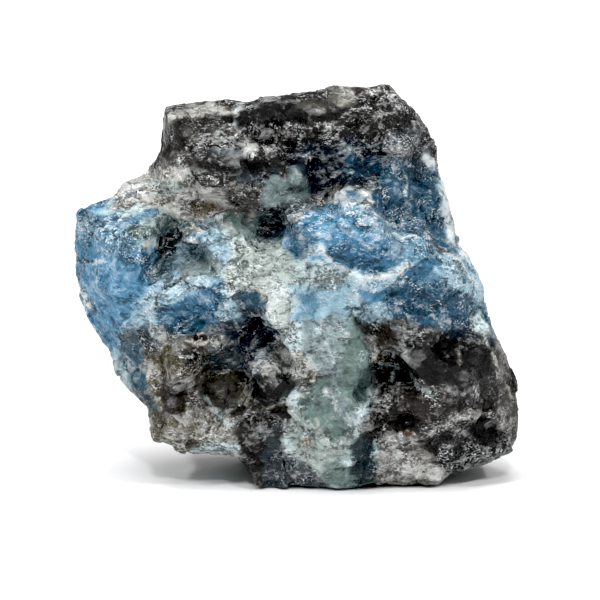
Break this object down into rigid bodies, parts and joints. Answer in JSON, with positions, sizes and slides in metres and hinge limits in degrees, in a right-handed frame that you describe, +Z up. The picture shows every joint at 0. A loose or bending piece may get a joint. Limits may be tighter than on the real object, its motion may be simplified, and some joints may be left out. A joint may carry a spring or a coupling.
{
  "type": "aquamarine in matrix",
  "caption": "Palm-sized broken lump of dark smoky quartz with a large fractured mass of blue and sea-green aquamarine grown through it, standing on a broken flat.",
  "frame": {"origin": "bottom centre of the bounding box, on the level of the flat that the stone stands on", "axes": "+X to the viewer's right across the wide face, +Y away from the viewer through the thickness, +Z up"},
  "size_m": [0.0808, 0.0462, 0.0727],
  "materials": {
    "aquamarine": "glassy broken surface, translucent, blue to sea-green with white cracks",
    "smoky_quartz": "glassy broken surface, translucent brown-black with grey edges"
  },
  "bodies": {
    "root": {"aquamarine": "aquamarine", "smoky_quartz_matrix": "smoky_quartz"}
  },
  "joints": []
}
